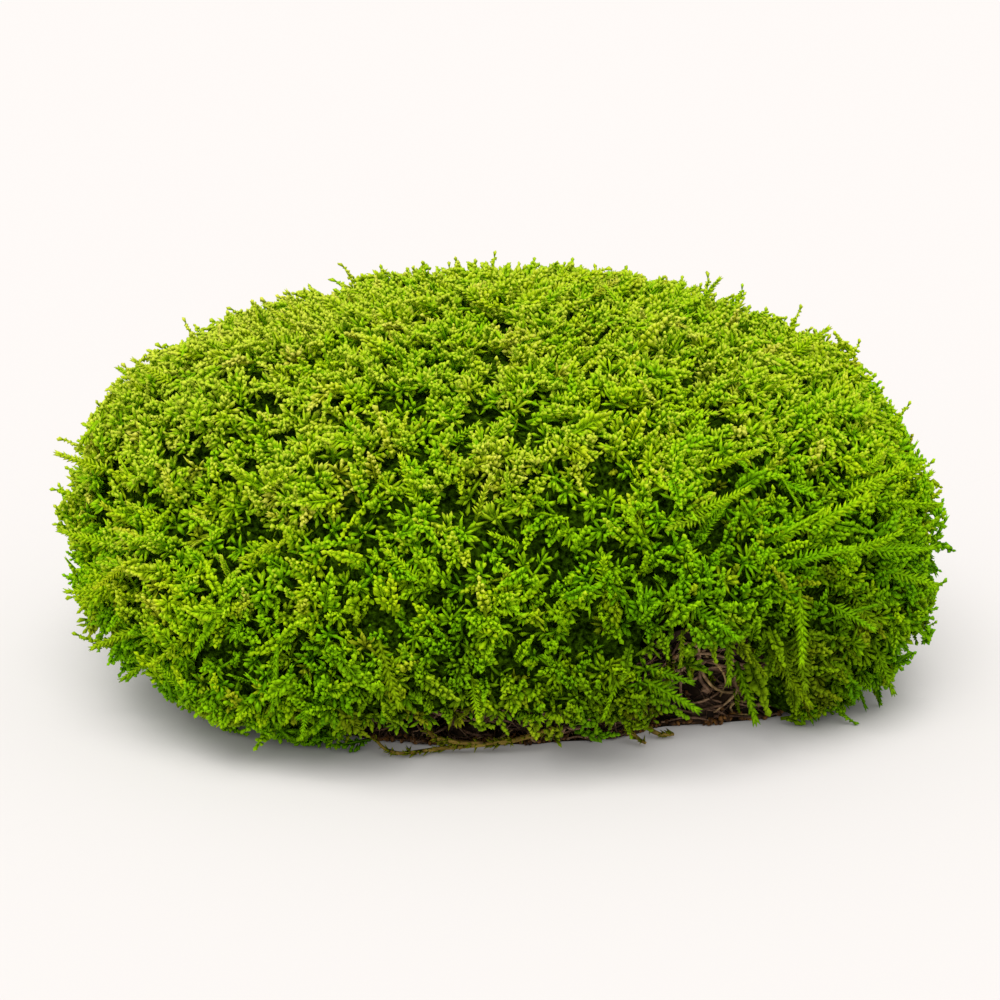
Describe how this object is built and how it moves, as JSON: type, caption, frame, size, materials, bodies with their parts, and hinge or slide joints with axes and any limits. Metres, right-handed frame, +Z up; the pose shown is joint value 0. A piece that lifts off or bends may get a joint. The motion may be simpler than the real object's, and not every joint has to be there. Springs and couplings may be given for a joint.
{
  "type": "moss clump",
  "caption": "Bun-shaped clump of feathery green moss on a flat pad of dark humus, with bare brown runners trailing from its foot.",
  "frame": {"origin": "on the ground under the middle of the clump's bounding box", "axes": "+Z up from the flat base, +X along the clump's long side, -Y the front where the moss hangs short over the humus"},
  "size_m": [0.1402, 0.1198, 0.0626],
  "materials": {
    "moss": "living moss, vivid green with pale yellow-green tips, slightly damp",
    "humus": "matt dark brown humus of dead stems and rhizoids",
    "runner": "dry tan-brown bare stem"
  },
  "bodies": {
    "root": {"moss_cushion": "moss", "humus_pad": "humus", "runner_front_loop": "runner", "runner_front_spur": "runner", "runner_front_stub": "runner", "runner_right_stub": "runner"}
  },
  "joints": []
}
